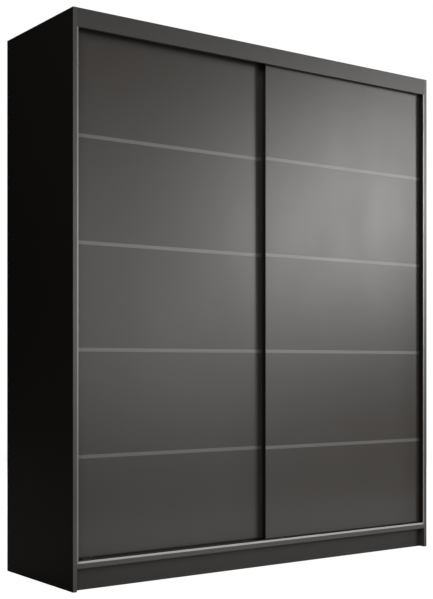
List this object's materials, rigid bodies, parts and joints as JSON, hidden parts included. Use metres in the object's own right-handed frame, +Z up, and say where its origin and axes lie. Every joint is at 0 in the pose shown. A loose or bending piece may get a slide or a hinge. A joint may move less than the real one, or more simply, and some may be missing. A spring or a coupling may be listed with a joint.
{
  "type": "sliding door wardrobe",
  "caption": "Tall free-standing wardrobe with overlapping sliding doors crossed by thin inlays, a fascia, closing strips and a recessed plinth.",
  "frame": {"origin": "centre of the footprint, on the floor", "axes": "+Z up, the doors face -Y, +X to the right of someone facing the doors"},
  "size_m": [1.8, 0.58, 2.15],
  "materials": {
    "carcass_board": "dark anthracite melamine-faced chipboard, fine satin grain",
    "plinth_board": "dark anthracite melamine-faced chipboard, satin",
    "fascia_board": "graphite melamine-faced chipboard, satin",
    "door_board": "graphite laminate, semi-matt with a soft sheen",
    "edge_band": "ABS edge band, satin",
    "door_edge_band": "ABS edge band, satin",
    "inlay": "brushed, graphite lacquered",
    "hardboard": "raw hardboard, fibrous",
    "strip_aluminium": "anodised satin",
    "track_aluminium": "anodised satin",
    "black_aluminium": "black anodised",
    "black_nylon": "moulded, matt",
    "wheel_nylon": "moulded, satin",
    "zinc_steel": "zinc plated",
    "chromed_steel": "chrome plated",
    "beech": "raw fluted beech",
    "brush_fibre": "dense nylon pile"
  },
  "bodies": {
    "carcass": {"left_side_panel": "carcass_board", "right_side_panel": "carcass_board", "top_panel": "carcass_board", "bottom_panel": "carcass_board", "centre_partition": "carcass_board", "front_plinth": "plinth_board", "rear_plinth": "plinth_board", "plinth_brace": "plinth_board", "top_fascia": "fascia_board", "front_edge_bands": "edge_band", "left_back_panel": "hardboard", "right_back_panel": "hardboard", "back_nails": "zinc_steel", "left_closing_strip": "strip_aluminium", "right_closing_strip": "strip_aluminium", "upper_track": "track_aluminium", "lower_track": "black_aluminium", "track_lip": "track_aluminium", "track_screws": "zinc_steel", "track_stops": "black_nylon", "hat_shelf": "carcass_board", "hanging_rail": "chromed_steel", "rail_sockets": "chromed_steel", "rail_socket_screws": "zinc_steel", "shelf_pins": "zinc_steel", "dowels": "beech", "cam_locks": "zinc_steel", "cam_bolts": "zinc_steel", "wall_brackets": "zinc_steel", "wall_bracket_screws": "zinc_steel", "shelf_1": "carcass_board", "shelf_2": "carcass_board", "shelf_3": "carcass_board", "shelf_4": "carcass_board", "shelf_5": "carcass_board"},
    "left_door": {"left_door_board": "door_board", "left_door_edge_bands": "door_edge_band", "left_door_inlays": "inlay", "left_door_roller_housings": "black_nylon", "left_door_roller_axles": "zinc_steel", "left_door_roller_screws": "zinc_steel", "left_door_top_guides": "black_nylon", "left_door_guide_screws": "zinc_steel"},
    "right_door": {"right_door_board": "door_board", "right_door_edge_bands": "door_edge_band", "right_door_inlays": "inlay", "right_door_roller_housings": "black_nylon", "right_door_roller_axles": "zinc_steel", "right_door_roller_screws": "zinc_steel", "right_door_top_guides": "black_nylon", "right_door_guide_screws": "zinc_steel", "overlap_profile": "black_aluminium", "overlap_brush": "brush_fibre", "profile_screws": "zinc_steel"},
    "left_outer_wheel": {"left_door_outer_wheel": "wheel_nylon"},
    "left_inner_wheel": {"left_door_inner_wheel": "wheel_nylon"},
    "right_outer_wheel": {"right_door_outer_wheel": "wheel_nylon"},
    "right_inner_wheel": {"right_door_inner_wheel": "wheel_nylon"}
  },
  "joints": [
    {"name": "left_door_slide", "type": "slide", "parent": "carcass", "child": "left_door", "axis": [1, 0, 0], "range_m": [0, 0.879]},
    {"name": "right_door_slide", "type": "slide", "parent": "carcass", "child": "right_door", "axis": [1, 0, 0], "range_m": [-0.879, 0]},
    {"name": "left_outer_wheel_turn", "type": "hinge", "parent": "left_door", "child": "left_outer_wheel", "pos_m": [-0.793, -0.22125, 0.1218], "axis": [0, 1, 0], "range_deg": [0, 4380]},
    {"name": "left_inner_wheel_turn", "type": "hinge", "parent": "left_door", "child": "left_inner_wheel", "pos_m": [-0.086, -0.22125, 0.1218], "axis": [0, 1, 0], "range_deg": [0, 4380]},
    {"name": "right_outer_wheel_turn", "type": "hinge", "parent": "right_door", "child": "right_outer_wheel", "pos_m": [0.793, -0.25425, 0.1218], "axis": [0, 1, 0], "range_deg": [-4380, 0]},
    {"name": "right_inner_wheel_turn", "type": "hinge", "parent": "right_door", "child": "right_inner_wheel", "pos_m": [0.086, -0.25425, 0.1218], "axis": [0, 1, 0], "range_deg": [-4380, 0]}
  ],
  "couplings": [
    {"joint": "left_outer_wheel_turn", "follows": "left_door_slide", "rad_per_m": 86.957},
    {"joint": "left_inner_wheel_turn", "follows": "left_door_slide", "rad_per_m": 86.957},
    {"joint": "right_outer_wheel_turn", "follows": "right_door_slide", "rad_per_m": 86.957},
    {"joint": "right_inner_wheel_turn", "follows": "right_door_slide", "rad_per_m": 86.957}
  ]
}
